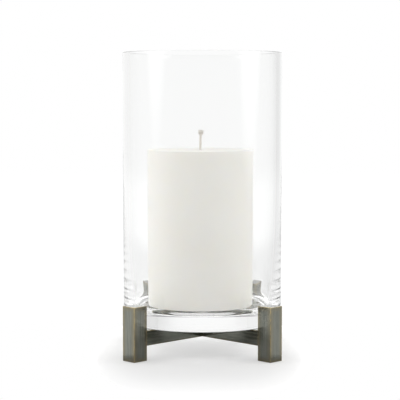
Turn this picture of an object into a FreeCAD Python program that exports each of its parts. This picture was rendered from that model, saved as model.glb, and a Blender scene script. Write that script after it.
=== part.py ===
import FreeCAD, Part
import math
import os

import Sketcher
from FreeCAD import Placement, Rotation, Vector

# A hurricane candle lantern: a thick-based glass cylinder stands on a cross of two half-lapped
# bars, between four square posts that are also the feet, and a pillar candle stands in the glass.
# The origin is on the table under the middle of the cross. +Z is up and -Y is the front.

# Driving dimensions, in millimetres
DIMENSIONS = {
    # Glass cylinder
    "glass_diameter": 152.4,
    "glass_height": 257.7,
    "glass_rim_wall": 5.2,
    "glass_foot_wall": 10.0,
    "glass_floor": 12.7,
    "glass_rim_bevel": 0.6,
    "glass_foot_bevel": 2.0,
    "glass_inner_bevel": 6.4,
    # Posts and cross bars
    "post_side": 15.9,
    "post_top": 51.5,
    "post_gap": 4.2,
    "post_bevel": 0.3,
    "bar_side": 14.3,
    "bar_underside": 14.1,
    "bar_bevel": 0.3,
    "lap_clearance": 0.05,
    "lap_overcut": 1.0,
    # Studs that join the posts to the bars
    "stud_diameter": 6.0,
    "stud_in_bar": 10.0,
    "stud_in_post": 8.0,
    "stud_clearance": 0.05,
    # Screw through the middle of the cross
    "screw_diameter": 5.0,
    "screw_length": 12.6,
    "screw_head_diameter": 9.4,
    "screw_head_depth": 2.6,
    "screw_socket": 3.0,
    "screw_socket_depth": 1.8,
    "screw_tip_bevel": 0.6,
    "screw_bore_spare": 0.5,
    # Felt pads under the posts and clear bumpers under the glass
    "pad_thickness": 1.0,
    "pad_recess": 0.7,
    "pad_inset": 1.6,
    "pad_clearance": 0.1,
    "pad_corner": 1.2,
    "bumper_diameter": 9.5,
    "bumper_thickness": 0.4,
    "bumper_radius": 62.0,
    # Candle, wick and wick tab
    "candle_diameter": 101.6,
    "candle_height": 152.4,
    "candle_offset": -1.9,
    "candle_top_bevel": 1.2,
    "candle_foot_bevel": 1.0,
    "candle_foot_width": 9.0,
    "candle_hollow": 1.0,
    "candle_dimple_radius": 11.0,
    "candle_dimple_depth": 0.8,
    "wick_diameter": 2.2,
    "wick_above_wax": 11.4,
    "wick_bend_radius": 16.0,
    "wick_lean": 9.0,
    "wick_tuft_length": 4.6,
    "wick_tuft_width": 3.6,
    "wick_tuft_end_width": 2.5,
    "wick_tuft_belly": 2.5,
    "wick_clearance": 0.04,
    "tab_diameter": 20.0,
    "tab_thickness": 0.4,
    "tab_neck_diameter": 3.8,
    "tab_neck_height": 7.0,
}

# Where each post stands, as the angle of its centre about the origin
CORNERS = {
    "front_left": 225,
    "front_right": 315,
    "rear_left": 135,
    "rear_right": 45,
}
FULL_TURN = 360

# Heights and places worked out from the sheet
BAR_TOP = "(Dims.bar_underside + Dims.bar_side)"
GLASS_FOOT = f"({BAR_TOP} + Dims.bumper_thickness)"
CANDLE_FOOT = f"({GLASS_FOOT} + Dims.glass_floor)"
BAR_HALF_LENGTH = "(Dims.glass_diameter / 2 + Dims.post_gap)"
POST_RADIUS = f"({BAR_HALF_LENGTH} + Dims.post_side / 2)"
POST_FOOT = "(Dims.pad_thickness - Dims.pad_recess)"
PAD_SIDE = "(Dims.post_side - 2 * Dims.pad_inset)"
BAR_MIDDLE = "(Dims.bar_underside + Dims.bar_side / 2)"
WICK_RUN = "(Dims.candle_height - Dims.candle_hollow + Dims.wick_above_wax)"

doc = FreeCAD.newDocument("HurricaneLantern")
sheet = doc.addObject("Spreadsheet::Sheet", "Dims")
sub_parts = []


def fill_sheet():
    """Puts each driving dimension in a cell of its own, under its alias."""
    for row, (alias, value) in enumerate(DIMENSIONS.items(), start=1):
        sheet.set(f"A{row}", alias)
        sheet.set(f"B{row}", str(value))
        sheet.setAlias(f"B{row}", alias)
    doc.recompute()


def value_of(expression):
    """The number that an expression of sheet cells comes to now."""
    return float(sheet.evalExpression(str(expression)))


def new_body(label):
    """An empty body that is one sub-part of the lantern."""
    body = doc.addObject("PartDesign::Body", label)
    body.Label = label
    sub_parts.append(body)
    return body


def origin_plane(body, role):
    """One of a body's own origin planes, such as XY_Plane."""
    return next(item for item in body.Origin.OriginFeatures if item.Role == role)


def new_sketch(body, name, role, offset="0"):
    """A sketch on an origin plane of its body, moved along the plane's normal by offset."""
    sketch = body.newObject("Sketcher::SketchObject", name)
    sketch.AttachmentSupport = [(origin_plane(body, role), "")]
    sketch.MapMode = "FlatFace"
    sketch.setExpression("AttachmentOffset.Base.z", offset)
    doc.recompute()
    return sketch


def bind(sketch, constraint, name, expression):
    """Adds a constraint and ties its value to an expression."""
    number = sketch.addConstraint(constraint)
    sketch.renameConstraint(number, name)
    sketch.setExpression(f"Constraints.{name}", expression)


def draw_rectangle(sketch, width, height):
    """A rectangle centred on the sketch's origin."""
    half_width = value_of(width) / 2
    half_height = value_of(height) / 2
    corners = [
        Vector(-half_width, -half_height),
        Vector(half_width, -half_height),
        Vector(half_width, half_height),
        Vector(-half_width, half_height),
    ]
    for start, end in zip(corners, corners[1:] + corners[:1]):
        sketch.addGeometry(Part.LineSegment(start, end))
    for side in range(4):
        sketch.addConstraint(Sketcher.Constraint("Coincident", side, 2, (side + 1) % 4, 1))
    for side in (0, 2):
        sketch.addConstraint(Sketcher.Constraint("Horizontal", side))
        sketch.addConstraint(Sketcher.Constraint("Vertical", side + 1))
    sketch.addConstraint(Sketcher.Constraint("Symmetric", 0, 1, 2, 1, -1, 1))
    bind(sketch, Sketcher.Constraint("DistanceX", 0, 1, 0, 2, 2 * half_width), "width", width)
    bind(sketch, Sketcher.Constraint("DistanceY", 1, 1, 1, 2, 2 * half_height), "height", height)
    doc.recompute()


def draw_circle(sketch, diameter, height=None):
    """A circle on the sketch's origin, or straight above it by height."""
    middle = Vector(0, value_of(height) if height else 0)
    radius = value_of(diameter) / 2
    sketch.addGeometry(Part.Circle(middle, Vector(0, 0, 1), radius))
    if height:
        sketch.addConstraint(Sketcher.Constraint("PointOnObject", 0, 3, -2))
        bind(sketch, Sketcher.Constraint("DistanceY", -1, 1, 0, 3, middle.y), "height", height)
    else:
        sketch.addConstraint(Sketcher.Constraint("Coincident", 0, 3, -1, 1))
    bind(sketch, Sketcher.Constraint("Diameter", 0, 2 * radius), "diameter", diameter)
    doc.recompute()


def draw_outline(sketch, corners):
    """A closed outline of straight sides. Each corner is two expressions, (radius, height)."""
    points = [Vector(value_of(radius), value_of(height)) for radius, height in corners]
    count = len(points)
    for start, end in zip(points, points[1:] + points[:1]):
        sketch.addGeometry(Part.LineSegment(start, end))
    for side in range(count):
        sketch.addConstraint(Sketcher.Constraint("Coincident", side, 2, (side + 1) % count, 1))
    for side, (radius, height) in enumerate(corners):
        if radius == "0":
            sketch.addConstraint(Sketcher.Constraint("PointOnObject", side, 1, -2))
        else:
            across = Sketcher.Constraint("DistanceX", -1, 1, side, 1, points[side].x)
            bind(sketch, across, f"radius{side}", radius)
        if height == "0":
            sketch.addConstraint(Sketcher.Constraint("PointOnObject", side, 1, -1))
        else:
            up = Sketcher.Constraint("DistanceY", -1, 1, side, 1, points[side].y)
            bind(sketch, up, f"height{side}", height)
    doc.recompute()


def pad(body, sketch, length):
    """Raises a sketch by a length."""
    feature = body.newObject("PartDesign::Pad", "Pad")
    feature.Profile = sketch
    feature.setExpression("Length", length)
    doc.recompute()
    return feature


def pocket(body, sketch, length, forwards=False):
    """Cuts a sketch into the body, against its plane's normal or along it."""
    before = body.Shape.Volume
    feature = body.newObject("PartDesign::Pocket", "Pocket")
    feature.Profile = sketch
    feature.Reversed = forwards
    feature.setExpression("Length", length)
    doc.recompute()
    if body.Shape.Volume >= before:
        raise RuntimeError(f"{sketch.Name} cuts nothing from {body.Label}")
    return feature


def revolve(body, corners, name="Profile"):
    """Turns an outline, drawn on the XZ plane, about the body's Z axis."""
    sketch = new_sketch(body, name, "XZ_Plane")
    draw_outline(sketch, corners)
    feature = body.newObject("PartDesign::Revolution", "Revolution")
    feature.Profile = sketch
    feature.ReferenceAxis = (sketch, ["V_Axis"])
    feature.Angle = FULL_TURN
    doc.recompute()
    return feature


def edges_where(feature, test):
    """The names of a feature's edges that pass a test."""
    return [f"Edge{n}" for n, edge in enumerate(feature.Shape.Edges, start=1) if test(edge)]


def ring_at(radius, height):
    """A test for a circular edge about Z of that radius, at that height."""
    wanted_radius, wanted_height = value_of(radius), value_of(height)

    def test(edge):
        if not isinstance(edge.Curve, Part.Circle):
            return False
        right_size = abs(edge.Curve.Radius - wanted_radius) < 1e-4
        return right_size and abs(edge.Curve.Center.z - wanted_height) < 1e-4

    return test


def runs_along(direction):
    """A test for a straight edge parallel to a direction."""

    def test(edge):
        if not isinstance(edge.Curve, Part.Line):
            return False
        return abs(abs(edge.tangentAt(edge.FirstParameter).dot(direction)) - 1) < 1e-6

    return test


def lies_at(height):
    """A test for an edge that lies level at a height."""

    def test(edge):
        return edge.BoundBox.ZLength < 1e-4 and abs(edge.CenterOfMass.z - height) < 1e-4

    return test


def fillet(body, feature, edge_names, radius):
    """Rounds edges of a feature."""
    rounding = body.newObject("PartDesign::Fillet", "Fillet")
    rounding.Base = (feature, edge_names)
    rounding.setExpression("Radius", radius)
    doc.recompute()
    return rounding


def chamfer(body, feature, edge_names, size):
    """Bevels edges of a feature."""
    bevel = body.newObject("PartDesign::Chamfer", "Chamfer")
    bevel.Base = (feature, edge_names)
    bevel.setExpression("Size", size)
    doc.recompute()
    return bevel


def place(body, radius, angle, height, turn=0):
    """Sets a body at a radius and an angle about the origin, at a height, turned about Z."""
    body.Placement = Placement(Vector(0, 0, 0), Rotation(Vector(0, 0, 1), turn))
    body.setExpression("Placement.Base.x", f"{radius} * cos({angle} deg)")
    body.setExpression("Placement.Base.y", f"{radius} * sin({angle} deg)")
    body.setExpression("Placement.Base.z", height)


# Glass: a cylinder with a heavy floor and a wall that thickens downwards into a broad inner corner
def make_glass():
    body = new_body("glass_cylinder")
    outer = "Dims.glass_diameter / 2"
    mouth = "(Dims.glass_diameter / 2 - Dims.glass_rim_wall)"
    bottom = "(Dims.glass_diameter / 2 - Dims.glass_foot_wall)"
    shell = revolve(body, [
        ("0", "0"),
        (outer, "0"),
        (outer, "Dims.glass_height"),
        (mouth, "Dims.glass_height"),
        (bottom, "Dims.glass_floor"),
        ("0", "Dims.glass_floor"),
    ])
    rim = edges_where(shell, ring_at(outer, "Dims.glass_height"))
    rim += edges_where(shell, ring_at(mouth, "Dims.glass_height"))
    bevelled = chamfer(body, shell, rim, "Dims.glass_rim_bevel")
    foot = edges_where(bevelled, ring_at(outer, "0"))
    bevelled = chamfer(body, bevelled, foot, "Dims.glass_foot_bevel")
    corner = edges_where(bevelled, ring_at(bottom, "Dims.glass_floor"))
    chamfer(body, bevelled, corner, "Dims.glass_inner_bevel")
    place(body, "0", 0, GLASS_FOOT)


# Posts: four square feet, each bored for its stud on the inner side and recessed for its pad
def make_post(corner, angle):
    body = new_body(f"post_{corner}")
    section = new_sketch(body, "Section", "XY_Plane")
    draw_rectangle(section, "Dims.post_side", "Dims.post_side")
    block = pad(body, section, f"Dims.post_top - {POST_FOOT}")
    at_foot = lies_at(0)
    upper_edges = edges_where(block, lambda edge: not at_foot(edge))
    chamfer(body, block, upper_edges, "Dims.post_bevel")
    bore = new_sketch(body, "StudBore", "YZ_Plane", "Dims.stud_in_post - Dims.post_side / 2")
    bore_diameter = "Dims.stud_diameter + 2 * Dims.stud_clearance"
    draw_circle(bore, bore_diameter, f"{BAR_MIDDLE} - {POST_FOOT}")
    pocket(body, bore, "Dims.stud_in_post")
    recess = new_sketch(body, "PadRecess", "XY_Plane")
    recess_side = f"{PAD_SIDE} + 2 * Dims.pad_clearance"
    draw_rectangle(recess, recess_side, recess_side)
    pocket(body, recess, "Dims.pad_recess", forwards=True)
    place(body, POST_RADIUS, angle, POST_FOOT, angle)


# Cross bars: two square bars, half-lapped where they cross, with a stud bore in each end
def make_bar(label, angle, is_lower):
    body = new_body(label)
    section = new_sketch(body, "Section", "YZ_Plane", f"-{BAR_HALF_LENGTH}")
    draw_rectangle(section, "Dims.bar_side", "Dims.bar_side")
    stock = pad(body, section, f"2 * {BAR_HALF_LENGTH}")
    chamfer(body, stock, edges_where(stock, runs_along(Vector(1, 0, 0))), "Dims.bar_bevel")
    notch = new_sketch(body, "LapNotch", "XY_Plane")
    notch_width = "Dims.bar_side + 2 * Dims.lap_clearance"
    draw_rectangle(notch, notch_width, "Dims.bar_side + 2 * Dims.lap_overcut")
    pocket(body, notch, "Dims.bar_side", forwards=is_lower)
    bore = new_sketch(body, "StudBore", "YZ_Plane", f"{BAR_HALF_LENGTH} - Dims.stud_in_bar")
    draw_circle(bore, "Dims.stud_diameter + 2 * Dims.stud_clearance")
    first_bore = pocket(body, bore, "Dims.stud_in_bar", forwards=True)
    both_bores = body.newObject("PartDesign::Mirrored", "BothBores")
    both_bores.Originals = [first_bore]
    both_bores.MirrorPlane = (origin_plane(body, "YZ_Plane"), [""])
    body.Tip = both_bores
    doc.recompute()
    if is_lower:
        cut_screw_seat(body)
    else:
        bore_for_thread(body)
    place(body, "0", 0, BAR_MIDDLE, angle)


def cut_screw_seat(body):
    """A clearance hole through the lower bar, countersunk on its underside."""
    hole = new_sketch(body, "ScrewHole", "XY_Plane")
    draw_circle(hole, "Dims.screw_diameter + 2 * Dims.stud_clearance")
    pocket(body, hole, "Dims.bar_side")
    seat = body.newObject("PartDesign::SubtractiveCone", "Countersink")
    seat.AttachmentSupport = [(origin_plane(body, "XY_Plane"), "")]
    seat.MapMode = "FlatFace"
    seat.setExpression("AttachmentOffset.Base.z", "-Dims.bar_side / 2")
    seat.setExpression("Radius1", "Dims.screw_head_diameter / 2 + Dims.stud_clearance")
    seat.setExpression("Radius2", "Dims.screw_diameter / 2 + Dims.stud_clearance")
    seat.setExpression("Height", "Dims.screw_head_depth")
    doc.recompute()


def bore_for_thread(body):
    """A blind hole in the upper bar, from the lap face upwards, that takes the screw's end."""
    hole = new_sketch(body, "ThreadBore", "XY_Plane")
    draw_circle(hole, "Dims.screw_diameter + 2 * Dims.stud_clearance")
    depth = "Dims.screw_length - Dims.bar_side / 2 + Dims.screw_bore_spare"
    pocket(body, hole, depth, forwards=True)


# Studs: plain pins, half in a bar's end and half in its post
def make_stud(corner, angle):
    body = new_body(f"stud_{corner}")
    length = "Dims.stud_in_bar + Dims.stud_in_post"
    section = new_sketch(body, "Section", "YZ_Plane", f"{BAR_HALF_LENGTH} - Dims.stud_in_bar")
    draw_circle(section, "Dims.stud_diameter")
    pad(body, section, length)
    place(body, "0", 0, BAR_MIDDLE, angle)


# Screw: a countersunk socket screw that clamps the half-lap from underneath
def make_lap_screw():
    body = new_body("lap_screw")
    head = "Dims.screw_head_diameter / 2"
    shank = "Dims.screw_diameter / 2"
    revolve(body, [
        ("0", "0"),
        (head, "0"),
        (shank, "Dims.screw_head_depth"),
        (shank, "Dims.screw_length - Dims.screw_tip_bevel"),
        (f"{shank} - Dims.screw_tip_bevel", "Dims.screw_length"),
        ("0", "Dims.screw_length"),
    ])
    socket = new_sketch(body, "HexSocket", "XY_Plane")
    draw_hexagon(socket, "Dims.screw_socket")
    pocket(body, socket, "Dims.screw_socket_depth", forwards=True)
    place(body, "0", 0, "Dims.bar_underside")


def draw_hexagon(sketch, across_flats):
    """A regular hexagon on the sketch's origin, sized across its flats."""
    radius = value_of(across_flats) / 3**0.5
    sides = 6
    for side in range(sides):
        turn = FULL_TURN / sides
        start = Rotation(Vector(0, 0, 1), side * turn).multVec(Vector(radius, 0))
        end = Rotation(Vector(0, 0, 1), (side + 1) * turn).multVec(Vector(radius, 0))
        sketch.addGeometry(Part.LineSegment(start, end))
    guide = sketch.addGeometry(Part.Circle(Vector(0, 0), Vector(0, 0, 1), radius), True)
    sketch.addConstraint(Sketcher.Constraint("Coincident", guide, 3, -1, 1))
    for side in range(sides):
        after = (side + 1) % sides
        sketch.addConstraint(Sketcher.Constraint("Coincident", side, 2, after, 1))
        sketch.addConstraint(Sketcher.Constraint("PointOnObject", side, 1, guide))
        if side:
            sketch.addConstraint(Sketcher.Constraint("Equal", 0, side))
    sketch.addConstraint(Sketcher.Constraint("PointOnObject", 0, 1, -1))
    corners = Sketcher.Constraint("Diameter", guide, 2 * radius)
    bind(sketch, corners, "corners", f"2 * {across_flats} / sqrt(3)")
    doc.recompute()


# Pads: felt squares in the recesses under the posts, which stand a little proud
def make_foot_pad(corner, angle):
    body = new_body(f"foot_pad_{corner}")
    section = new_sketch(body, "Section", "XY_Plane")
    draw_rectangle(section, PAD_SIDE, PAD_SIDE)
    felt = pad(body, section, "Dims.pad_thickness")
    upright = edges_where(felt, runs_along(Vector(0, 0, 1)))
    fillet(body, felt, upright, "Dims.pad_corner")
    place(body, POST_RADIUS, angle, "0", angle)


# Bumpers: clear discs on the bars, which the glass stands on
def make_bumper(corner, angle):
    body = new_body(f"glass_bumper_{corner}")
    section = new_sketch(body, "Section", "XY_Plane")
    draw_circle(section, "Dims.bumper_diameter")
    pad(body, section, "Dims.bumper_thickness")
    place(body, "Dims.bumper_radius", angle, BAR_TOP)


# Candle: a moulded pillar with a dimple round the wick, a hollow foot and a pocket for the tab
def make_candle():
    body = new_body("pillar_candle")
    side = "Dims.candle_diameter / 2"
    foot = "(Dims.candle_diameter / 2 - Dims.candle_foot_width)"
    bore = "(Dims.wick_diameter / 2 + Dims.wick_clearance)"
    tab = "(Dims.tab_diameter / 2 + Dims.wick_clearance)"
    neck = "(Dims.tab_neck_diameter / 2 + Dims.wick_clearance)"
    tab_top = "Dims.candle_hollow + Dims.tab_thickness"
    neck_top = "Dims.candle_hollow + Dims.tab_neck_height"
    pillar = revolve(body, [
        (bore, "Dims.candle_height - Dims.candle_dimple_depth"),
        ("Dims.candle_dimple_radius", "Dims.candle_height"),
        (side, "Dims.candle_height"),
        (side, "0"),
        (foot, "0"),
        (foot, "Dims.candle_hollow"),
        (tab, "Dims.candle_hollow"),
        (tab, tab_top),
        (neck, tab_top),
        (neck, neck_top),
        (bore, neck_top),
    ])
    top = edges_where(pillar, ring_at(side, "Dims.candle_height"))
    bevelled = chamfer(body, pillar, top, "Dims.candle_top_bevel")
    base = edges_where(bevelled, ring_at(side, "0"))
    chamfer(body, bevelled, base, "Dims.candle_foot_bevel")
    place(body, "Dims.candle_offset", 0, CANDLE_FOOT)


# Wick tab: a thin tin disc with a neck crimped on the wick
def make_wick_tab():
    body = new_body("wick_tab")
    bore = "(Dims.wick_diameter / 2 + Dims.wick_clearance / 2)"
    neck = "Dims.tab_neck_diameter / 2"
    revolve(body, [
        (bore, "0"),
        ("Dims.tab_diameter / 2", "0"),
        ("Dims.tab_diameter / 2", "Dims.tab_thickness"),
        (neck, "Dims.tab_thickness"),
        (neck, "Dims.tab_neck_height"),
        (bore, "Dims.tab_neck_height"),
    ])
    place(body, "Dims.candle_offset", 0, f"{CANDLE_FOOT} + Dims.candle_hollow")


# Wick: straight through the wax, then leaning a little to a frayed tuft at its cut end
def make_wick():
    body = new_body("wick")
    section = new_sketch(body, "Section", "XY_Plane")
    draw_circle(section, "Dims.wick_diameter")
    stem = body.newObject("PartDesign::AdditivePipe", "Stem")
    stem.Profile = section
    stem.Spine = (draw_wick_path(body), ["Edge1", "Edge2"])
    doc.recompute()
    add_tuft(body)
    place(body, "Dims.candle_offset", 0, f"{CANDLE_FOOT} + Dims.candle_hollow")


def draw_wick_path(body):
    """The wick's middle line: a straight run and the tangent arc of its lean."""
    run = value_of(WICK_RUN)
    radius = value_of("Dims.wick_bend_radius")
    lean = math.radians(value_of("Dims.wick_lean"))
    bend = Part.Circle(Vector(radius, run), Vector(0, 0, 1), radius)
    path = new_sketch(body, "Path", "XZ_Plane")
    path.addGeometry(Part.LineSegment(Vector(0, 0), Vector(0, run)))
    path.addGeometry(Part.ArcOfCircle(bend, math.pi - lean, math.pi))
    path.addConstraint(Sketcher.Constraint("Coincident", 0, 1, -1, 1))
    path.addConstraint(Sketcher.Constraint("Vertical", 0))
    path.addConstraint(Sketcher.Constraint("Tangent", 0, 2, 1, 2))
    bind(path, Sketcher.Constraint("DistanceY", 0, 1, 0, 2, run), "run", WICK_RUN)
    bind(path, Sketcher.Constraint("Radius", 1, radius), "bend", "Dims.wick_bend_radius")
    bind(path, Sketcher.Constraint("Angle", 1, lean), "lean", "Dims.wick_lean * 1 deg")
    doc.recompute()
    return path


def add_tuft(body):
    """Spreads the wick's cut end to a tuft, through three rings square to its lean."""
    rings = (
        ("0", "Dims.wick_diameter"),
        ("Dims.wick_tuft_belly", "Dims.wick_tuft_width"),
        ("Dims.wick_tuft_length", "Dims.wick_tuft_end_width"),
    )
    lean = "(Dims.wick_lean * 1 deg)"
    sections = []
    for along, diameter in rings:
        ring = new_sketch(body, "TuftRing", "XY_Plane")
        ring.AttachmentOffset = Placement(Vector(0, 0, 0), Rotation(Vector(0, 1, 0), 1))
        ring.setExpression("AttachmentOffset.Rotation.Angle", lean)
        sideways = f"Dims.wick_bend_radius * (1 - cos({lean})) + {along} * sin({lean})"
        upwards = f"{WICK_RUN} + Dims.wick_bend_radius * sin({lean}) + {along} * cos({lean})"
        ring.setExpression("AttachmentOffset.Base.x", sideways)
        ring.setExpression("AttachmentOffset.Base.z", upwards)
        draw_circle(ring, diameter)
        sections.append(ring)
    tuft = body.newObject("PartDesign::AdditiveLoft", "Tuft")
    tuft.Profile = sections[0]
    tuft.Sections = sections[1:]
    tuft.Ruled = True
    doc.recompute()


def check_and_export():
    """Stops if any object failed or any sub-part isn't sound, then writes one file each."""
    doc.recompute()
    for item in doc.Objects:
        if {"Invalid", "Error"} & set(item.State):
            raise RuntimeError(f"{item.Label} failed: {item.State}")
    os.makedirs("parts", exist_ok=True)
    for body in sub_parts:
        shape = body.Shape
        if shape.isNull() or not shape.isValid() or len(shape.Solids) != 1:
            raise RuntimeError(f"{body.Label} isn't one sound solid")
        box = shape.BoundBox
        print(f"{body.Label}: {shape.Volume / 1000:.2f} cm3, z {box.ZMin:.2f} to {box.ZMax:.2f}")
    for body in sub_parts:
        body.Shape.exportStep(f"parts/{body.Label}.step")


fill_sheet()
make_bar("lower_cross_bar", CORNERS["rear_right"], is_lower=True)
make_bar("upper_cross_bar", CORNERS["rear_left"], is_lower=False)
make_lap_screw()
for corner_name, corner_angle in CORNERS.items():
    make_post(corner_name, corner_angle)
    make_stud(corner_name, corner_angle)
    make_foot_pad(corner_name, corner_angle)
    make_bumper(corner_name, corner_angle)
make_glass()
make_candle()
make_wick_tab()
make_wick()
check_and_export()
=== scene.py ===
import math
import random

import bmesh
import bpy
from mathutils import Matrix, Vector


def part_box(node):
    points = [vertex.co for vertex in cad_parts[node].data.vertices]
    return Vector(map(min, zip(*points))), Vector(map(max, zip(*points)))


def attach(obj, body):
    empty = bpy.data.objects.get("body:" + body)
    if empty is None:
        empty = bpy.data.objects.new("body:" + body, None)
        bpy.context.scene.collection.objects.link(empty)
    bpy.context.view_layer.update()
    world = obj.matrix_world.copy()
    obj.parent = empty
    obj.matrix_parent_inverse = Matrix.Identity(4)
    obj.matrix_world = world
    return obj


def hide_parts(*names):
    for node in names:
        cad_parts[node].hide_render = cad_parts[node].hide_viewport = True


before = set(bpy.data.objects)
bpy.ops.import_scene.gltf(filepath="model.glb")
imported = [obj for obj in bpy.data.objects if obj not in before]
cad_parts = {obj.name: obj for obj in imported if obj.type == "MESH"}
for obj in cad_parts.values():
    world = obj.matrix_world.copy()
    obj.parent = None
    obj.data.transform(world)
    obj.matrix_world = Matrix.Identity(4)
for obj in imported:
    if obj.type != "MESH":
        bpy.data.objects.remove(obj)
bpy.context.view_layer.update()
MM = 0.001

# Sizes that the frame gives, in metres
glass_low, glass_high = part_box("glass_cylinder")
candle_low, candle_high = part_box("pillar_candle")
wick_low, wick_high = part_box("wick")
GLASS_RADIUS = (glass_high.x - glass_low.x) / 2
CANDLE_RADIUS = (candle_high.x - candle_low.x) / 2
CANDLE_X = (candle_high.x + candle_low.x) / 2

# Sizes that the frame's boxes don't show, as in the part's sheet, and the direction of each post in degrees
GLASS_RIM_WALL = 5.2 * MM
GLASS_FOOT_WALL = 10.0 * MM
GLASS_FLOOR = 12.7 * MM
POST_SIDE = 15.9 * MM
POST_GAP = 4.2 * MM
BAR_SIDE = 14.3 * MM
PAD_INSET = 1.6 * MM
PAD_CORNER = 1.2 * MM
CANDLE_FOOT_WIDTH = 9.0 * MM
CANDLE_HOLLOW = 1.0 * MM
DIMPLE_RADIUS = 11.0 * MM
DIMPLE_DEPTH = 0.8 * MM
TUFT_HEIGHT = 4.6 * MM
CORNERS = {"front_left": 225, "front_right": 315, "rear_left": 135, "rear_right": 45}

# Roundings of the looks alone, and the power of the height by which the glass wall thickens downwards
GLASS_RIM_ROUND = 0.6 * MM
GLASS_FOOT_ROUND = 2.0 * MM
GLASS_INNER_ROUND = 8.5 * MM
GLASS_SWELL = 5.0
CANDLE_TOP_ROUND = 0.6 * MM
CANDLE_FOOT_ROUND = 1.0 * MM
CANDLE_HOLLOW_SLOPE = 0.5 * MM
EDGE_ROUND = 0.3 * MM

# Margins on flat faces, from the rounding inwards: for even shading, and for wear
EDGE_SHADING = 0.1 * MM
POST_WEAR = 5.0 * MM
BAR_WEAR = 1.0 * MM

# Hairline gap between pieces that touch, and how near the end of a run its last point lies
SEAT_GAP = 0.05 * MM
NEAR_END = 0.2 * MM

# Edges that turn by more than this, in radians, get a rounding
SHARP_ANGLE = 0.5

# Wick: a core in the wax, braided strands, and the loose fibres of the cut end
WICK_CORE_RADIUS = 1.0 * MM
WICK_CORE_COVER = 2.0 * MM
STRANDS = 3
STRAND_RADIUS = 0.72 * MM
STRAND_SWAY = 0.5 * MM
STRAND_ROOT = 3.0 * MM
BRAID_TURNS = 3.2
BRAID_LEAN = 0.3 * MM
FIBRES = 40
FIBRES_OVER_TIP = 0.7 * MM
FIBRES_ROOT = 0.8 * MM
FIBRES_LEAN = 0.5 * MM

# Dark bronze: patina, brushed streaks, rubbed margins and brassy edges
BRONZE_DARK = (0.118, 0.128, 0.104, 1)
BRONZE_PALE = (0.155, 0.165, 0.136, 1)
BRONZE_STREAK = (0.23, 0.235, 0.20, 1)
BRONZE_RUBBED = (0.205, 0.182, 0.112, 1)
BRONZE_WORN = (0.42, 0.33, 0.15, 1)

# Grain of the brushing, in waves per metre along the piece and across it
BRUSHED_ALONG = 28
BRUSHED_ACROSS = 900

# The piece of floor that the shadow needs, its colour, and how far the painted light is centred to the left,
# as a share of half the width, so the painted shadow reaches further left
FLOOR_WIDTH = 210 * MM
FLOOR_DEPTH = 480 * MM
FLOOR_GREY = (0.52, 0.52, 0.52, 1)
PAINTED_SHADOW_LEFTWARDS = 0.03

# Painted light that the floor adds to the eye, which lightens its real shadow: inside and outside, and
# besides that at the rim and towards the back
WHITE_INSIDE = 0.345
WHITE_OUTSIDE = 0.52
WHITE_RIM = 0.3
PAINTED_LIGHT_BACK_MIDDLE = 0.24
PAINTED_LIGHT_BACK_SIDES = 0.11

# Brightness of the studio round the object, where 1 is white, from left to right where there are two values
BESIDE = (0.95, 0.82)
BEHIND = (0.92, 0.80)
BACK_LOW = 0.93
HORIZON_GLOW = 1.07
FRONT = 0.6
FRONT_THROUGH_GLASS = 0.9

# Brightness of the studio above the horizon, likewise
SLANTING_SIDES = (2.9, 2.7)
SLANTING_BACK = 0.2
SLANTING_FRONT = 1.2
OVERHEAD = 0.3

# Soft patches of light, two of them in mirrors alone: middle direction, cosine at the rim and core, strength
TOP_LIGHT = ((0, 0.57, 0.82), 0.86, 0.95, 1.5)
MIRRORED_BOXES = (
    ((-0.837, -0.305, 0.454), 0.86, 0.90, 1.3),
    ((0.847, -0.275, 0.454), 0.84, 0.89, 1.3),
)

# Thick clear glass needs many bounces
LIGHT_BOUNCES = 40

# Camera: sensor and lens in millimetres, place in metres, and how far it looks down in degrees
SENSOR_WIDTH = 36.0
LENS = 124.68
CAMERA_PLACE = (-2.2 * MM, -1332.1 * MM, 242.2 * MM)
CAMERA_DOWN = 4.166


class Nodes:
    """A node tree, with short ways to add nodes and join them."""

    def __init__(self, tree):
        self.tree = tree

    def put(self, socket, value):
        """Joins an output to an input socket, or sets the input's own value."""
        if isinstance(value, bpy.types.NodeSocket):
            self.tree.links.new(value, socket)
        else:
            socket.default_value = value

    def add(self, kind, inputs=None, out=0, **settings):
        """Adds a node and returns one of its outputs."""
        node = self.tree.nodes.new(kind)
        for key, value in settings.items():
            setattr(node, key, value)
        for key, value in (inputs or {}).items():
            self.put(node.inputs[key], value)
        return node.outputs[out]

    def noise(self, vector, scale, detail=3.0, roughness=0.5):
        """Noise from 0 to 1."""
        values = {"Vector": vector, "Scale": scale, "Detail": detail, "Roughness": roughness}
        return self.add("ShaderNodeTexNoise", values)

    def fit(self, value, low, high, new_low, new_high):
        """Moves a value smoothly from one range to another, held at both ends."""
        values = {"Value": value, "From Min": low, "From Max": high, "To Min": new_low, "To Max": new_high}
        return self.add("ShaderNodeMapRange", values, interpolation_type="SMOOTHSTEP")

    def spread(self, noise, low, high):
        """Spreads noise over a range, since most of it lies between 0.3 and 0.7."""
        return self.fit(noise, 0.3, 0.7, low, high)

    def math(self, operation, first, second):
        return self.add("ShaderNodeMath", {0: first, 1: second}, operation=operation)

    def ray(self, kind):
        """What the light path says of a ray."""
        return self.add("ShaderNodeLightPath", out=kind)

    def axes(self, vector, names):
        """The named axes of a vector, one by one."""
        return [self.add("ShaderNodeSeparateXYZ", {0: vector}, out=name) for name in names]

    def patch(self, direction, middle, rim, core, strength):
        """A round soft patch of light, from the cosine at its rim to that at its core."""
        facing = self.add("ShaderNodeVectorMath", {0: direction, 1: middle}, "Value", operation="DOT_PRODUCT")
        return self.fit(facing, rim, core, 0, strength)

    def mix(self, share, first, second):
        """A colour between two colours."""
        node = self.tree.nodes.new("ShaderNodeMix")
        node.data_type = "RGBA"
        for number, value in {0: share, 6: first, 7: second}.items():
            self.put(node.inputs[number], value)
        return node.outputs[2]


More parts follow.
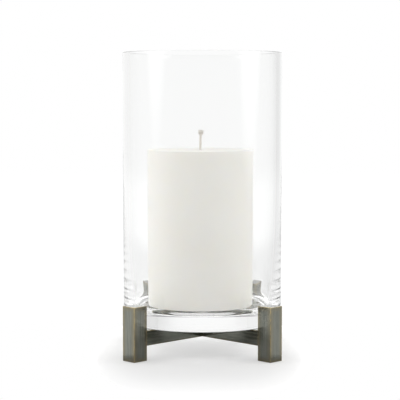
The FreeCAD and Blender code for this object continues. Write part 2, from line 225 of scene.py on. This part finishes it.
class Shader(Nodes):
    """A material with one principled surface."""

    def __init__(self, name):
        self.material = bpy.data.materials.new(name)
        self.material.use_nodes = True
        super().__init__(self.material.node_tree)
        self.surface = self.tree.nodes["Principled BSDF"]

    def set(self, **values):
        """Sets inputs of the surface, with _ for a space in the input's name."""
        for key, value in values.items():
            self.put(self.surface.inputs[key.replace("_", " ")], value)

    def coordinates(self, scale=(1, 1, 1), turn=0):
        """The piece's own coordinates, turned about Z and then scaled."""
        place = self.add("ShaderNodeTexCoord", out="Object")
        turned = self.add("ShaderNodeVectorRotate", {"Vector": place, "Angle": turn})
        return self.add("ShaderNodeVectorMath", {0: turned, 1: scale}, operation="MULTIPLY")

    def bump(self, height, strength, distance):
        values = {"Height": height, "Strength": strength, "Distance": distance}
        return self.add("ShaderNodeBump", values)

    def tone(self, noise, dark, pale):
        """A colour that wanders between two with the noise."""
        return self.mix(self.spread(noise, 0, 1), dark, pale)


# Dark bronze: brushed, mottled patina, brassy where the edges are worn
def bronze(name, grain, turn=0):
    shader = Shader(name)
    brushed = shader.noise(shader.coordinates(grain, turn), 1.0, detail=4.0, roughness=0.6)
    mottle = shader.noise(shader.coordinates(), 70.0, detail=5.0, roughness=0.6)
    patches = shader.noise(shader.coordinates(), 210.0, detail=3.0)
    edge = shader.add("ShaderNodeAttribute", out="Fac", attribute_name="edge")
    patina = shader.tone(mottle, BRONZE_DARK, BRONZE_PALE)
    streaked = shader.mix(shader.fit(brushed, 0.38, 0.62, 0, 0.7), patina, BRONZE_STREAK)
    rubbed = shader.mix(shader.fit(edge, 0, 0.9, 0, 0.8), streaked, BRONZE_RUBBED)
    ragged = shader.math("ADD", edge, shader.spread(patches, -0.07, 0.03))
    worn = shader.fit(ragged, 0.92, 0.98, 0, 0.7)
    shader.set(
        Base_Color=shader.mix(worn, rubbed, BRONZE_WORN),
        Metallic=1.0,
        Roughness=shader.spread(brushed, 0.13, 0.23),
        Normal=shader.bump(brushed, 0.05, 0.2 * MM),
        Coat_Weight=1.0,
        Coat_Roughness=0.15,
    )
    return shader.material


# Clear glass, with the faintest waviness
def clear_glass():
    shader = Shader("clear_glass")
    waves = shader.noise(shader.coordinates(), 22.0, detail=1.0)
    shader.set(
        Base_Color=(0.985, 0.988, 0.986, 1),
        Roughness=0.0,
        IOR=1.5,
        Transmission_Weight=1.0,
        Normal=shader.bump(waves, 0.05, 1.0 * MM),
    )
    return shader.material


# Ivory-white wax, slightly translucent
def wax():
    shader = Shader("wax")
    cloud = shader.noise(shader.coordinates(), 26.0, detail=4.0)
    pores = shader.noise(shader.coordinates(), 900.0, detail=3.0)
    shader.set(
        Base_Color=shader.tone(cloud, (0.945, 0.915, 0.855, 1), (0.965, 0.94, 0.885, 1)),
        Roughness=shader.spread(pores, 0.42, 0.56),
        Subsurface_Weight=0.35,
        Subsurface_Radius=(1.0, 0.85, 0.65),
        Subsurface_Scale=6.0 * MM,
        IOR=1.44,
        Normal=shader.bump(pores, 0.06, 0.2 * MM),
    )
    return shader.material


# Waxed cotton of the wick
def cotton():
    shader = Shader("cotton")
    fibres = shader.noise(shader.coordinates((1, 1, 0.25)), 3500.0, detail=2.0)
    shader.set(
        Base_Color=shader.tone(fibres, (0.68, 0.64, 0.58, 1), (0.85, 0.82, 0.77, 1)),
        Roughness=0.85,
        Sheen_Weight=0.3,
        Normal=shader.bump(fibres, 0.4, 0.15 * MM),
    )
    return shader.material


# Black felt under the posts
def felt():
    shader = Shader("felt")
    fuzz = shader.noise(shader.coordinates(), 2600.0, detail=4.0, roughness=0.7)
    shader.set(
        Base_Color=shader.tone(fuzz, (0.020, 0.019, 0.018, 1), (0.075, 0.070, 0.065, 1)),
        Roughness=1.0,
        Sheen_Weight=0.4,
        Normal=shader.bump(fuzz, 0.6, 0.3 * MM),
    )
    return shader.material


# Clear soft bumpers
def clear_rubber():
    shader = Shader("clear_rubber")
    haze = shader.noise(shader.coordinates(), 800.0)
    shader.set(
        Base_Color=(0.92, 0.93, 0.93, 1),
        Roughness=shader.spread(haze, 0.08, 0.2),
        IOR=1.47,
        Transmission_Weight=1.0,
    )
    return shader.material


# Plated steel of the studs and the lap screw
def plated_steel():
    shader = Shader("plated_steel")
    grain = shader.noise(shader.coordinates(), 1500.0, detail=4.0)
    shader.set(
        Base_Color=shader.tone(grain, (0.38, 0.38, 0.39, 1), (0.52, 0.52, 0.53, 1)),
        Metallic=1.0,
        Roughness=shader.spread(grain, 0.25, 0.42),
    )
    return shader.material


# Thin bright tinplate of the wick tab
def tinplate():
    shader = Shader("tinplate")
    spangle = shader.noise(shader.coordinates(), 400.0, detail=5.0)
    shader.set(
        Base_Color=shader.tone(spangle, (0.56, 0.56, 0.56, 1), (0.70, 0.70, 0.69, 1)),
        Metallic=1.0,
        Roughness=shader.spread(spangle, 0.2, 0.4),
    )
    return shader.material


def new_piece(name, mesh, body, slot, material, *nodes):
    """Shows a mesh as a piece that rides on a body in place of CAD nodes."""
    piece = bpy.data.objects.new(name, mesh)
    bpy.context.scene.collection.objects.link(piece)
    mesh.materials.append(material)
    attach(piece, body)
    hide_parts(*nodes)
    return piece


def keep_node(node, material):
    """Leaves a CAD node as it is, in a better material."""
    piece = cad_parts[node]
    piece.data.materials.clear()
    piece.data.materials.append(material)


def mesh_from(name, build):
    """A mesh from a bmesh, with all its faces turned outwards."""
    bmesh.ops.recalc_face_normals(build, faces=build.faces)
    mesh = bpy.data.meshes.new(name)
    build.to_mesh(mesh)
    build.free()
    return mesh


def arc(centre, radius, start, end, steps):
    """Points (radius, height) along an arc, from one angle in degrees to another."""
    points = []
    for step in range(steps + 1):
        angle = math.radians(start + (end - start) * step / steps)
        points.append((centre[0] + radius * math.cos(angle), centre[1] + radius * math.sin(angle)))
    return points


def swelling(start, end, power, shares):
    """Points between two at shares of the way, where the radius follows a power of the share."""
    points = []
    for share in shares:
        radius = start[0] + (end[0] - start[0]) * share**power
        points.append((radius, start[1] + (end[1] - start[1]) * share))
    return points


def even_shares(start, end, count):
    """Even shares of the way between two points, with one close to the start."""
    return [NEAR_END / math.dist(start, end)] + [step / count for step in range(1, count)]


def straight(start, end, count):
    """Points between two, with one close to each end so that roundings don't bend the shading."""
    shares = even_shares(start, end, count)
    return swelling(start, end, 1, shares + [1 - shares[0]])


def lathe(name, profile, segments, centre_x=0.0):
    """A closed mesh turned about Z from a profile that starts and ends on the axis."""
    build = bmesh.new()
    rings = []
    for radius, height in profile:
        if radius == 0:
            rings.append([build.verts.new((centre_x, 0, height))])
            continue
        ring = []
        for segment in range(segments):
            angle = math.tau * segment / segments
            place = (centre_x + radius * math.cos(angle), radius * math.sin(angle), height)
            ring.append(build.verts.new(place))
        rings.append(ring)
    for lower, upper in zip(rings, rings[1:]):
        for segment in range(segments):
            after = (segment + 1) % segments
            corners = [lower[segment % len(lower)], lower[after % len(lower)],
                       upper[after % len(upper)], upper[segment % len(upper)]]
            build.faces.new(list(dict.fromkeys(corners)))
    mesh = mesh_from(name, build)
    mesh.shade_smooth()
    return mesh


# Glass: turned profile with a flat-cut rim, a heavy floor and a wall that swells towards the foot
def make_glass(material):
    low, high = glass_low.z + SEAT_GAP, glass_high.z
    floor = glass_low.z + GLASS_FLOOR
    rim, foot, corner = GLASS_RIM_ROUND, GLASS_FOOT_ROUND, GLASS_INNER_ROUND
    mouth, bottom = GLASS_RADIUS - GLASS_RIM_WALL, GLASS_RADIUS - GLASS_FOOT_WALL
    outer = arc((GLASS_RADIUS - foot, low + foot), foot, -90, 0, 8)
    top = arc((GLASS_RADIUS - rim, high - rim), rim, 0, 90, 6)
    lip = arc((mouth + rim, high - rim), rim, 90, 180, 6)
    lean = math.degrees(math.atan2(GLASS_SWELL * (mouth - bottom), high - floor))
    inner = arc((bottom - corner, floor + corner), corner, -lean, -90, 12)
    profile = [(0, low)] + straight((0, low), outer[0], 8) + outer
    profile += straight(outer[-1], top[0], 30) + top
    profile += straight(top[-1], lip[0], 2) + lip
    profile += swelling(lip[-1], inner[0], GLASS_SWELL, even_shares(lip[-1], inner[0], 60)) + inner
    profile += straight(inner[-1], (0, floor), 8) + [(0, floor)]
    mesh = lathe("glass", profile, 192)
    return new_piece("hurricane_glass", mesh, "glass", "clear_glass", material, "glass_cylinder")


# Candle: moulded pillar with softened edges, a dimple round the wick and a hollow foot
def make_candle(material):
    low, high = candle_low.z + SEAT_GAP, candle_high.z
    hollow, foot_inside = low + CANDLE_HOLLOW, CANDLE_RADIUS - CANDLE_FOOT_WIDTH
    foot = arc((CANDLE_RADIUS - CANDLE_FOOT_ROUND, low + CANDLE_FOOT_ROUND), CANDLE_FOOT_ROUND, -90, 0, 6)
    top = arc((CANDLE_RADIUS - CANDLE_TOP_ROUND, high - CANDLE_TOP_ROUND), CANDLE_TOP_ROUND, 0, 90, 8)
    profile = [(0, hollow), (foot_inside - CANDLE_HOLLOW_SLOPE, hollow), (foot_inside, low)] + foot
    profile += straight(foot[-1], top[0], 40) + top
    profile += straight(top[-1], (DIMPLE_RADIUS, high), 6)
    profile += dimple(high, 8)
    mesh = lathe("candle", profile, 160, CANDLE_X)
    return new_piece("pillar_wax", mesh, "candle", "wax", material, "pillar_candle")


def dimple(high, steps):
    """Points down a smooth dimple, from its rim to the wick's side and on to the axis."""
    points = []
    for step in range(steps + 1):
        radius = DIMPLE_RADIUS + (WICK_CORE_RADIUS - DIMPLE_RADIUS) * step / steps
        share = (DIMPLE_RADIUS - radius) / DIMPLE_RADIUS
        points.append((radius, high - DIMPLE_DEPTH * share * share * (3 - 2 * share)))
    return points + [(0, high - DIMPLE_DEPTH)]


def bevelled(build, radius, wear):
    """Rounds every sharp edge of a solid and marks the mesh attribute edge along the rounding."""
    layer = build.verts.layers.float.new("edge")
    sharp = [edge for edge in build.edges if edge.calc_face_angle(0) > SHARP_ANGLE]
    rounded = bmesh.ops.bevel(build, geom=sharp, offset=radius, segments=3, profile=0.5, affect="EDGES")
    soft = set(rounded["faces"])
    for face in rounded["faces"]:
        for vert in face.verts:
            vert[layer] = 1.0
    plain = [face for face in build.faces if face not in soft]
    for inwards, mark in ((EDGE_SHADING, 1.0), (wear, 0.0)):
        bmesh.ops.inset_individual(build, faces=plain, thickness=inwards, use_even_offset=True)
        for face in plain:
            for vert in face.verts:
                vert[layer] = mark


def square_block(side, height):
    """A square block on end, about the origin."""
    build = bmesh.new()
    bmesh.ops.create_cube(build, size=1.0)
    bmesh.ops.scale(build, vec=(side, side, height), verts=build.verts)
    return build


def base_piece(build, angle, middle, look, slot, material, node):
    """A piece of the base, turned about Z and then moved, with smooth shading except at corners."""
    bmesh.ops.rotate(build, matrix=Matrix.Rotation(math.radians(angle), 3, "Z"), verts=build.verts)
    bmesh.ops.translate(build, vec=middle, verts=build.verts)
    mesh = mesh_from(node, build)
    mesh.shade_smooth()
    mesh.set_sharp_from_angle(angle=math.radians(35))
    return new_piece(f"{look}_{node}", mesh, "base", slot, material, node)


# Posts: square bars on end, with eased edges
def make_post(corner, angle, material):
    node = f"post_{corner}"
    low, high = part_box(node)
    build = square_block(POST_SIDE, high.z - low.z)
    bevelled(build, EDGE_ROUND, POST_WEAR)
    return base_piece(build, angle, (low + high) / 2, "bronze", "bronze", material, node)


# Felt feet: thin squares with soft corners, let into the posts
def make_foot_pad(corner, angle, material):
    node = f"foot_pad_{corner}"
    low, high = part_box(node)
    height = high.z - low.z
    build = square_block(POST_SIDE - 2 * PAD_INSET, height)
    upright = [edge for edge in build.edges if abs(edge.verts[0].co.z - edge.verts[1].co.z) > height / 2]
    bmesh.ops.bevel(build, geom=upright, offset=PAD_CORNER, segments=5, profile=0.5, affect="EDGES")
    return base_piece(build, angle, (low + high) / 2, "felt", "felt", material, node)


# Cross bars: each with its half of the lap cut out of the middle
def make_bar(node, angle, is_lower, material):
    low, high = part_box(node)
    half = GLASS_RADIUS + POST_GAP
    middle = (low.z + high.z) / 2
    lap = BAR_SIDE / 2 + SEAT_GAP
    bottom, top = (low.z, high.z) if is_lower else (high.z, low.z)
    outline = [(-half, bottom), (half, bottom), (half, top), (lap, top), (lap, middle),
               (-lap, middle), (-lap, top), (-half, top)]
    build = bmesh.new()
    side = build.faces.new([build.verts.new((x, -BAR_SIDE / 2, z)) for x, z in outline])
    grown = bmesh.ops.extrude_face_region(build, geom=[side])
    far = [item for item in grown["geom"] if isinstance(item, bmesh.types.BMVert)]
    bmesh.ops.translate(build, vec=(0, BAR_SIDE, 0), verts=far)
    bmesh.ops.recalc_face_normals(build, faces=build.faces)
    bevelled(build, EDGE_ROUND, BAR_WEAR)
    return base_piece(build, angle, (0, 0, 0), "bronze", "bronze", material, node)


def tube(build, path, radii, sides):
    """A closed tube along a path, with a radius at each of its points."""
    rings = []
    for number, point in enumerate(path):
        ahead = path[min(number + 1, len(path) - 1)]
        behind = path[max(number - 1, 0)]
        along = (ahead - behind).normalized()
        across = along.cross(Vector((0, 1, 0.1))).normalized()
        upright = along.cross(across)
        ring = []
        for side in range(sides):
            angle = math.tau * side / sides
            outwards = math.cos(angle) * across + math.sin(angle) * upright
            ring.append(build.verts.new(point + radii[number] * outwards))
        rings.append(ring)
    for lower, upper in zip(rings, rings[1:]):
        for side in range(sides):
            after = (side + 1) % sides
            build.faces.new((lower[side], lower[after], upper[after], upper[side]))
    build.faces.new(rings[0][::-1])
    build.faces.new(rings[-1])


def strand_path(phase, low, high, steps):
    """The way of one strand: a figure of eight, seen from above, that leans as it rises."""
    path = []
    for step in range(steps + 1):
        share = step / steps
        turn = phase + math.tau * share * BRAID_TURNS
        x = CANDLE_X + STRAND_SWAY * math.sin(turn) + BRAID_LEAN * share**2
        y = 0.8 * STRAND_SWAY * math.sin(2 * turn)
        path.append(Vector((x, y, low + (high - low) * share)))
    return path


def fray(build, root, tip):
    """Loose fibres that spread from the cut end of the wick, and taper."""
    draw = random.Random(7)
    steps = 6
    for _ in range(FIBRES):
        angle = draw.uniform(0, math.tau)
        spread = draw.uniform(0.3, 1.9) * MM
        reach = draw.uniform(0.65, 1.0) * (tip - root.z)
        start = root + Vector((math.cos(angle), math.sin(angle), 0)) * draw.uniform(0.1, 0.8) * MM
        thick = draw.uniform(0.16, 0.30) * MM
        path = []
        radii = []
        for step in range(steps + 1):
            share = step / steps
            outwards = Vector((math.cos(angle), 0.7 * math.sin(angle), 0)) * spread * share**0.12
            path.append(start + outwards + Vector((0, 0, reach * share)))
            radii.append(thick * (1 - 0.6 * share))
        tube(build, path, radii, 6)


# Wick: braided strands that end in a frayed tuft, on a straight core in the wax
def make_wick(material):
    wax_top = candle_high.z - DIMPLE_DEPTH
    tip = wick_high.z + FIBRES_OVER_TIP
    tuft = tip - TUFT_HEIGHT
    build = bmesh.new()
    for number in range(STRANDS):
        path = strand_path(math.tau * number / STRANDS, wax_top - STRAND_ROOT, tuft, 56)
        tube(build, path, [STRAND_RADIUS] * len(path), 8)
    fray(build, Vector((CANDLE_X + FIBRES_LEAN, 0, tuft - FIBRES_ROOT)), tip)
    core = [Vector((CANDLE_X, 0, height)) for height in (wick_low.z, wax_top - WICK_CORE_COVER)]
    tube(build, core, [WICK_CORE_RADIUS] * len(core), 12)
    mesh = mesh_from("wick", build)
    mesh.shade_smooth()
    return new_piece("braided_wick", mesh, "candle", "cotton", material, "wick")


# Floor: pale, with the object's shadow, and white to the eye, so that its edge can't be seen; painted light
# lightens the shadow towards the rim and the back
def make_floor():
    build = bmesh.new()
    bmesh.ops.create_circle(build, cap_ends=True, segments=64, radius=1.0)
    bmesh.ops.scale(build, vec=(FLOOR_WIDTH / 2, FLOOR_DEPTH / 2, 1), verts=build.verts)
    floor = bpy.data.objects.new("floor", mesh_from("floor", build))
    bpy.context.scene.collection.objects.link(floor)
    shader = Shader("pale_floor")
    shader.set(Base_Color=FLOOR_GREY, Roughness=0.9, Specular_IOR_Level=0.0)
    white = shader.add("ShaderNodeEmission", {"Strength": painted_floor_light(shader)})
    both = shader.add("ShaderNodeAddShader", {0: shader.surface.outputs[0], 1: white})
    shader.put(shader.tree.nodes["Material Output"].inputs["Surface"], both)
    floor.data.materials.append(shader.material)


def through_glass(nodes):
    """One for a look through glass, and zero or less for the rays that light matt surfaces."""
    return nodes.math("SUBTRACT", nodes.ray("Is Transmission Ray"), nodes.ray("Diffuse Depth"))


def painted_floor_light(shader):
    """The painted light that the floor adds where it is looked at, which grows outwards and towards the back
    and lightens the shadow there.
    """
    spot = shader.coordinates((2 / FLOOR_WIDTH, 2 / FLOOR_DEPTH, 1))
    sideways, back = shader.axes(spot, "XY")
    # Painted shadow: the painted light is centred a little to the left, so the shadow seems to reach further
    # on the left
    shifted = shader.math("ADD", sideways, PAINTED_SHADOW_LEFTWARDS)
    squared = shader.math("MULTIPLY", shifted, shifted)
    squarish = shader.add("ShaderNodeCombineXYZ", {0: squared, 1: back})
    outwards = shader.add("ShaderNodeVectorMath", {0: squarish}, out="Value", operation="LENGTH")
    # Painted light: it lightens the real shadow more outwards and towards the back, in the middle more than
    # at the sides
    growing = shader.fit(outwards, 0.45, 1.0, WHITE_INSIDE, WHITE_OUTSIDE)
    most_behind = shader.fit(squared, 0.35, 0.6, PAINTED_LIGHT_BACK_MIDDLE, PAINTED_LIGHT_BACK_SIDES)
    behind = shader.fit(back, -0.5, 0.25, 0, most_behind)
    rim = shader.fit(outwards, 0.82, 0.98, 0, WHITE_RIM)
    white = shader.math("ADD", shader.math("ADD", growing, behind), rim)
    through = shader.fit(through_glass(shader), 0, 1, 0, 1)
    return shader.math("MULTIPLY", shader.math("MAXIMUM", through, shader.ray("Is Camera Ray")), white)


# Studio: white behind, a little darker at the sides, dim in front, with soft light from above
def make_studio():
    scene = bpy.context.scene
    world = bpy.data.worlds.new("studio")
    world.use_nodes = True
    scene.world = world
    sky = Nodes(world.node_tree)
    direction = sky.add("ShaderNodeTexCoord", out="Generated")
    across, ahead, up = sky.axes(direction, "XYZ")
    around = studio_around(sky, across, ahead, up)
    above = studio_above(sky, across, ahead, up)
    studio = sky.fit(up, 0.15, 0.40, around, above)
    lit = sky.math("ADD", studio, sky.patch(direction, *TOP_LIGHT))
    mirrored = sky.math("SUBTRACT", sky.ray("Is Glossy Ray"), sky.ray("Is Transmission Ray"))
    for box in MIRRORED_BOXES:
        lit = sky.math("ADD", lit, sky.fit(mirrored, 0, 1, 0, sky.patch(direction, *box)))
    background = world.node_tree.nodes["Background"]
    sky.put(background.inputs["Color"], (1, 1, 1, 1))
    sky.put(background.inputs["Strength"], sky.math("MAXIMUM", lit, sky.ray("Is Camera Ray")))
    scene.view_settings.view_transform = "Standard"
    for kind in ("max_bounces", "transmission_bounces", "glossy_bounces"):
        setattr(scene.cycles, kind, LIGHT_BOUNCES)
    scene.cycles.blur_glossy = 0.0


def studio_around(sky, across, ahead, up):
    """The brightness near the horizon, where the front is paler in a look through glass."""
    front = sky.fit(through_glass(sky), 0, 1, FRONT, FRONT_THROUGH_GLASS)
    beside = sky.fit(across, -0.3, 0.3, *BESIDE)
    behind = sky.fit(across, -0.3, 0.3, *BEHIND)
    sides = sky.fit(ahead, 0.3, 0.7, beside, behind)
    back = sky.fit(up, -0.18, -0.135, BACK_LOW, 1.0)
    glow = sky.fit(up, -0.185, -0.135, 1.0, sky.fit(up, -0.085, -0.05, HORIZON_GLOW, 1.0))
    sides_and_back = sky.math("MULTIPLY", glow, sky.fit(ahead, 0.90, 0.99, sides, back))
    return sky.fit(ahead, -0.9, -0.2, front, sides_and_back)


def studio_above(sky, across, ahead, up):
    """The brightness above: strongest slantwise from both sides, and dim overhead."""
    slanting_back = sky.fit(ahead, 0.0, 0.7, sky.fit(across, -0.7, 0.7, *SLANTING_SIDES), SLANTING_BACK)
    slanting = sky.fit(ahead, -0.7, 0.0, SLANTING_FRONT, slanting_back)
    return sky.fit(up, 0.6, 0.85, slanting, OVERHEAD)


def make_camera():
    camera_data = bpy.data.cameras.new("camera")
    camera_data.sensor_width = SENSOR_WIDTH
    camera_data.lens = LENS
    camera_data.clip_start = 10 * MM
    camera = bpy.data.objects.new("camera", camera_data)
    camera.location = CAMERA_PLACE
    camera.rotation_euler = (math.radians(90 - CAMERA_DOWN), 0, 0)
    bpy.context.scene.collection.objects.link(camera)
    bpy.context.scene.camera = camera


make_camera()
make_studio()
make_floor()
make_glass(clear_glass())
make_candle(wax())
make_wick(cotton())
upright_bronze = bronze("bronze_posts", (BRUSHED_ACROSS, BRUSHED_ACROSS, BRUSHED_ALONG))
black_felt = felt()
soft_clear = clear_rubber()
steel = plated_steel()
for corner_name, corner_angle in CORNERS.items():
    make_post(corner_name, corner_angle, upright_bronze)
    make_foot_pad(corner_name, corner_angle, black_felt)
    keep_node(f"glass_bumper_{corner_name}", soft_clear)
    keep_node(f"stud_{corner_name}", steel)
bar_grain = (BRUSHED_ALONG, BRUSHED_ACROSS, BRUSHED_ACROSS)
make_bar("lower_cross_bar", 45, True, bronze("bronze_lower_bar", bar_grain, math.radians(-45)))
make_bar("upper_cross_bar", 135, False, bronze("bronze_upper_bar", bar_grain, math.radians(-135)))
keep_node("lap_screw", steel)
keep_node("wick_tab", tinplate())
